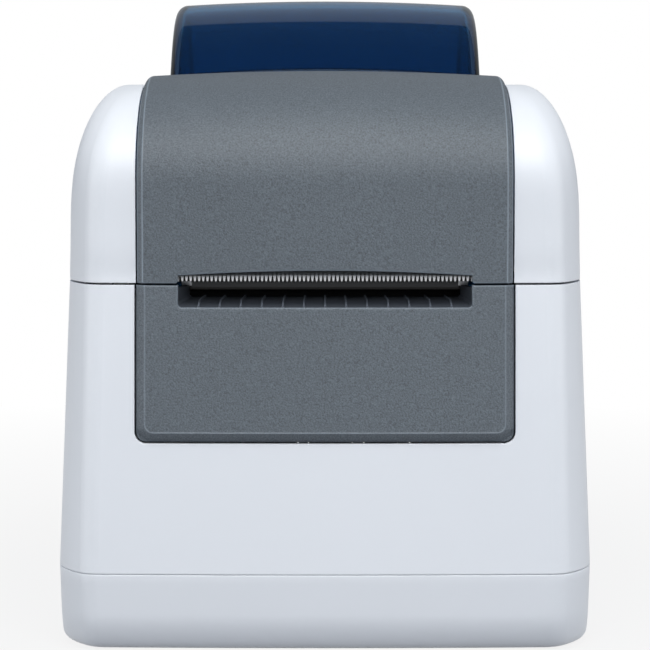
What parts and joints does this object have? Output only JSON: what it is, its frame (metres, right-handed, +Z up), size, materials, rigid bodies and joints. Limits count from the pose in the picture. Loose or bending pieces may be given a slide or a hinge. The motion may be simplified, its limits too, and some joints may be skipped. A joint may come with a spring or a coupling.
{
  "type": "thermal label printer",
  "caption": "Desktop label printer with a rear-hinged lid, blue roll window, toothed tear bar and geared platen drive.",
  "frame": {"origin": "middle of the footprint, on the surface that the feet stand on", "axes": "+X to the right seen from the front, +Y to the rear, +Z up"},
  "size_m": [0.1642, 0.224, 0.2008],
  "materials": {
    "white_shell": "fine satin moulded plastic",
    "grey_cover": "fine spark-eroded texture",
    "blue_window": "polished see-through blue",
    "dark_frame": "matt black moulding",
    "bay_grey": "matt dark grey moulding",
    "rubber_black": "matt rubber",
    "stainless": "brushed stainless strip",
    "zinc_steel": "zinc-plated sheet",
    "bright_pin": "ground steel",
    "alloy": "extruded aluminium",
    "gear_white": "natural acetal",
    "motor_black": "black lacquered can",
    "board_green": "solder resist",
    "chip_black": "moulded epoxy",
    "socket_metal": "plated sheet",
    "ceramic": "glazed ceramic",
    "lamp_clear": "clear light pipe",
    "bronze": "sintered bronze",
    "guide_dark": "matt dark grey moulding"
  },
  "bodies": {
    "base": {"bottom_tray": "white_shell", "rubber_feet": "rubber_black", "case_screws": "zinc_steel", "housing": "white_shell", "hinge_pins": "bright_pin", "front_panel": "grey_cover", "media_bay": "bay_grey", "drive_side_plate": "zinc_steel", "plain_side_plate": "zinc_steel", "platen_bushings": "bronze", "idler_pin": "bright_pin", "stepping_motor": "motor_black", "sensor_rail": "bright_pin", "pinion_pin": "zinc_steel", "circuit_board": "board_green", "board_chips": "chip_black", "board_capacitors": "alloy", "board_screws": "zinc_steel", "power_inlet": "chip_black", "usb_socket": "socket_metal", "network_socket": "socket_metal", "serial_socket": "socket_metal", "switch_bezel": "dark_frame"},
    "lid": {"lid_shell": "white_shell", "top_cover": "grey_cover", "roll_window": "blue_window", "lid_frame": "dark_frame", "head_bracket": "zinc_steel", "head_pivot_pin": "bright_pin", "head_springs": "bright_pin", "tear_bar": "stainless", "tear_bar_holder": "dark_frame", "lamp_lens": "lamp_clear", "control_board": "board_green", "control_switch": "chip_black"},
    "platen": {"platen_roller": "rubber_black", "platen_shaft": "bright_pin", "platen_gear": "gear_white"},
    "idler": {"idler_gear": "gear_white"},
    "motor_rotor": {"motor_pinion": "bright_pin"},
    "mark_sensor": {"mark_sensor": "dark_frame"},
    "right_guide": {"right_guide": "guide_dark"},
    "left_guide": {"left_guide": "guide_dark"},
    "right_hub": {"right_hub": "guide_dark"},
    "left_hub": {"left_hub": "guide_dark"},
    "guide_pinion": {"guide_pinion": "gear_white"},
    "print_head": {"head_ceramic": "ceramic", "head_sink": "alloy"},
    "feed_button": {"feed_button": "grey_cover"},
    "power_rocker": {"power_rocker": "dark_frame"},
    "right_latch": {"right_latch": "grey_cover"},
    "left_latch": {"left_latch": "grey_cover"}
  },
  "joints": [
    {"name": "lid_hinge", "type": "hinge", "parent": "base", "child": "lid", "pos_m": [0, 0.109, 0.1122], "axis": [-1, 0, 0], "range_deg": [0, 84]},
    {"name": "platen_spin", "type": "hinge", "parent": "base", "child": "platen", "pos_m": [0, -0.082, 0.1007], "axis": [1, 0, 0], "continuous": true},
    {"name": "idler_spin", "type": "hinge", "parent": "base", "child": "idler", "pos_m": [0, -0.07786, 0.08525], "axis": [1, 0, 0], "continuous": true},
    {"name": "motor_spin", "type": "hinge", "parent": "base", "child": "motor_rotor", "pos_m": [0, -0.06746, 0.06723], "axis": [1, 0, 0], "continuous": true},
    {"name": "sensor_slide", "type": "slide", "parent": "base", "child": "mark_sensor", "axis": [1, 0, 0], "range_m": [-0.036, 0.036]},
    {"name": "right_guide_slide", "type": "slide", "parent": "base", "child": "right_guide", "axis": [1, 0, 0], "range_m": [-0.028, 0]},
    {"name": "left_guide_slide", "type": "slide", "parent": "base", "child": "left_guide", "axis": [1, 0, 0], "range_m": [0, 0.028]},
    {"name": "guide_pinion_spin", "type": "hinge", "parent": "base", "child": "guide_pinion", "pos_m": [0, 0.0347, 0.0588], "axis": [0, 0, 1], "range_deg": [-5, 280]},
    {"name": "right_hub_spin", "type": "hinge", "parent": "right_guide", "child": "right_hub", "pos_m": [0.04, 0.0347, 0.1308], "axis": [1, 0, 0], "continuous": true},
    {"name": "left_hub_spin", "type": "hinge", "parent": "left_guide", "child": "left_hub", "pos_m": [-0.04, 0.0347, 0.1308], "axis": [1, 0, 0], "continuous": true},
    {"name": "head_pivot", "type": "hinge", "parent": "lid", "child": "print_head", "pos_m": [0, -0.0665, 0.1152], "axis": [-1, 0, 0], "range_deg": [0, 3], "stiffness_Nm_per_rad": 6, "deforming": ["head_springs"]},
    {"name": "feed_button_press", "type": "slide", "parent": "lid", "child": "feed_button", "axis": [0, 0, -1], "range_m": [0, 0.0012], "stiffness_N_per_m": 800},
    {"name": "power_rocker_tilt", "type": "hinge", "parent": "base", "child": "power_rocker", "pos_m": [-0.052, 0.10175, 0.0682], "axis": [1, 0, 0], "range_deg": [0, 12]},
    {"name": "right_latch_slide", "type": "slide", "parent": "base", "child": "right_latch", "axis": [0, -1, 0], "range_m": [0, 0.005], "stiffness_N_per_m": 400},
    {"name": "left_latch_slide", "type": "slide", "parent": "base", "child": "left_latch", "axis": [0, -1, 0], "range_m": [0, 0.005], "stiffness_N_per_m": 400}
  ],
  "couplings": [
    {"joint": "idler_spin", "follows": "platen_spin", "ratio": -1.8571},
    {"joint": "motor_spin", "follows": "platen_spin", "ratio": 6.1905},
    {"joint": "left_guide_slide", "follows": "right_guide_slide", "ratio": -1},
    {"joint": "guide_pinion_spin", "follows": "right_guide_slide", "rad_per_m": -166.67}
  ]
}
